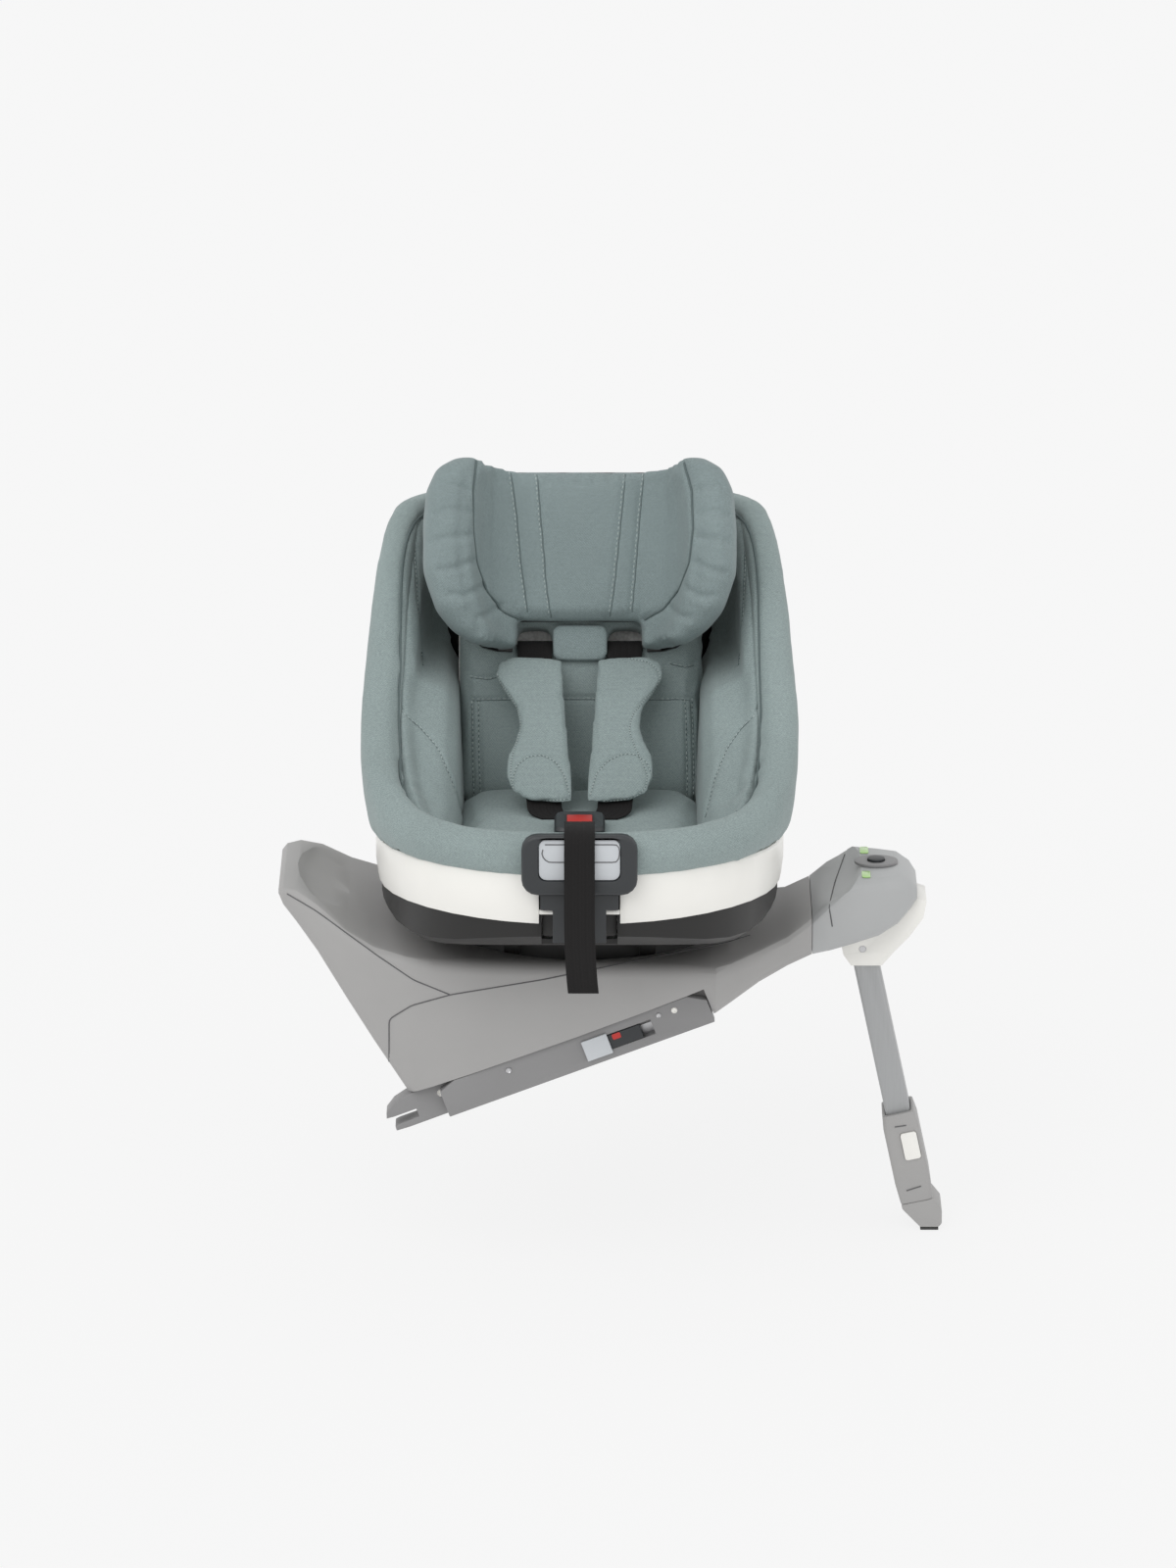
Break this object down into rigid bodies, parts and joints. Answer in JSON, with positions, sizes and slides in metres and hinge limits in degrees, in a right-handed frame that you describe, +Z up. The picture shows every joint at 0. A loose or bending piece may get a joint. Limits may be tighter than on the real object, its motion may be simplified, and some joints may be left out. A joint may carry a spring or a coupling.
{
  "type": "swivelling child car seat",
  "caption": "Reclining bucket seat with harness and sliding headrest, turning on a fixed base with sliding anchor jaws and a folding telescopic support leg.",
  "frame": {"origin": "midway between the two anchor jaws, on the axis of the bar that they grip", "axes": "+X from the anchor jaws towards the support leg, +Z up, the seat as shown faces -Y"},
  "size_m": [0.6905, 0.6277, 0.7944],
  "materials": {
    "sage_fabric": "matte",
    "sage_fabric_inner": "matte",
    "black_webbing": "matte",
    "black_plastic": "satin",
    "charcoal_plastic": "satin",
    "white_plastic": "satin",
    "pale_grey_plastic": "satin",
    "base_grey_plastic": "satin",
    "base_dark_plastic": "satin",
    "steel": "satin",
    "leg_metal": "satin",
    "white_foam": "matte",
    "red_plastic": "satin",
    "green_window": "satin",
    "dark_rubber": "matte"
  },
  "bodies": {
    "base": {"base_housing": "base_grey_plastic", "nose_cover": "base_grey_plastic", "nose_panel": "base_dark_plastic", "status_window_near": "green_window", "status_window_far": "green_window", "base_underpan": "base_dark_plastic", "grip_strip_low": "dark_rubber", "grip_strip_high": "dark_rubber", "base_trim_near": "base_dark_plastic", "base_trim_far": "base_dark_plastic", "turn_ring": "charcoal_plastic", "leg_bracket": "white_plastic", "leg_pin": "steel"},
    "turn_button": {"turn_button": "charcoal_plastic"},
    "slider_near": {"slider_near": "charcoal_plastic", "slider_near_thumb": "pale_grey_plastic"},
    "slider_far": {"slider_far": "charcoal_plastic", "slider_far_thumb": "pale_grey_plastic"},
    "anchor": {"anchor_frame": "steel", "anchor_jaw_near": "base_dark_plastic", "anchor_jaw_far": "base_dark_plastic"},
    "carrier": {"seat_carrier": "black_plastic"},
    "shell": {"seat_shell": "black_plastic", "trim_band": "white_plastic", "rim_cover": "sage_fabric", "foam_liner": "white_foam", "back_foam": "white_foam", "seat_cushion": "sage_fabric_inner", "back_pad": "sage_fabric_inner", "bolster_left": "sage_fabric_inner", "bolster_right": "sage_fabric_inner", "adjuster_bezel": "charcoal_plastic", "latch_housing": "black_plastic", "lever_pin": "white_plastic", "buckle": "charcoal_plastic", "crotch_strap": "black_webbing", "tongue_left": "steel", "tongue_right": "steel", "lap_strap_left": "black_webbing", "lap_strap_right": "black_webbing", "shoulder_strap_left": "black_webbing", "shoulder_strap_right": "black_webbing", "pull_strap": "black_webbing"},
    "headrest": {"headrest_shell": "black_plastic", "headrest_carrier": "charcoal_plastic", "headrest_pad": "sage_fabric", "headrest_wing_left": "sage_fabric", "headrest_wing_right": "sage_fabric", "neck_tab": "sage_fabric", "chest_pad_left": "sage_fabric", "chest_pad_right": "sage_fabric"},
    "adjuster_panel": {"adjuster_panel": "pale_grey_plastic"},
    "recline_lever": {"recline_lever": "charcoal_plastic"},
    "buckle_button": {"buckle_button": "red_plastic"},
    "leg_outer": {"leg_tube": "leg_metal"},
    "leg_inner": {"leg_inner_tube": "leg_metal", "foot_housing": "base_grey_plastic", "foot_block": "base_grey_plastic", "foot_sole": "dark_rubber"},
    "leg_key": {"leg_release_key": "white_plastic"}
  },
  "joints": [
    {"name": "swivel", "type": "hinge", "parent": "base", "child": "carrier", "pos_m": [0.17, 0, 0.1317], "axis": [0, 0, 1], "range_deg": [-180, 180]},
    {"name": "recline", "type": "hinge", "parent": "carrier", "child": "shell", "pos_m": [0.17, 0, 0.77], "axis": [-1, 0, 0], "range_deg": [0, 12]},
    {"name": "headrest_slide", "type": "slide", "parent": "shell", "child": "headrest", "axis": [0, 0.4226, 0.9063], "range_m": [0, 0.12], "deforming": ["shoulder_strap_left", "shoulder_strap_right"]},
    {"name": "adjuster_press", "type": "slide", "parent": "shell", "child": "adjuster_panel", "axis": [0, 1, 0], "range_m": [0, 0.0025], "stiffness_N_per_m": 600, "springref_m": -0.001},
    {"name": "recline_pull", "type": "hinge", "parent": "shell", "child": "recline_lever", "pos_m": [0.17, -0.2878, 0.262], "axis": [-1, 0, 0], "range_deg": [0, 7], "stiffness_Nm_per_rad": 0.4, "springref_deg": -11.46},
    {"name": "buckle_press", "type": "slide", "parent": "shell", "child": "buckle_button", "axis": [0, 0, -1], "range_m": [0, 0.0025], "stiffness_N_per_m": 800, "springref_m": -0.001},
    {"name": "turn_press", "type": "slide", "parent": "base", "child": "turn_button", "axis": [0, 0, -1], "range_m": [0, 0.002], "stiffness_N_per_m": 600, "springref_m": -0.001},
    {"name": "slider_near_slide", "type": "slide", "parent": "base", "child": "slider_near", "axis": [0.9351, 0, 0.3543], "range_m": [0, 0.012], "stiffness_N_per_m": 150, "springref_m": -0.004},
    {"name": "slider_far_slide", "type": "slide", "parent": "base", "child": "slider_far", "axis": [0.9351, 0, 0.3543], "range_m": [0, 0.012], "stiffness_N_per_m": 150, "springref_m": -0.004},
    {"name": "anchor_slide", "type": "slide", "parent": "base", "child": "anchor", "axis": [-0.9351, 0, -0.3543], "range_m": [0, 0.078]},
    {"name": "leg_fold", "type": "hinge", "parent": "base", "child": "leg_outer", "pos_m": [0.464, 0, 0.138], "axis": [0, 1, 0], "range_deg": [0, 74]},
    {"name": "leg_extend", "type": "slide", "parent": "leg_outer", "child": "leg_inner", "axis": [0.2079, 0, -0.9781], "range_m": [0, 0.12]},
    {"name": "leg_key_press", "type": "slide", "parent": "leg_inner", "child": "leg_key", "axis": [0, 1, 0], "range_m": [0, 0.0025], "stiffness_N_per_m": 600, "springref_m": -0.001}
  ],
  "couplings": [
    {"joint": "slider_far_slide", "follows": "slider_near_slide", "ratio": 1}
  ]
}
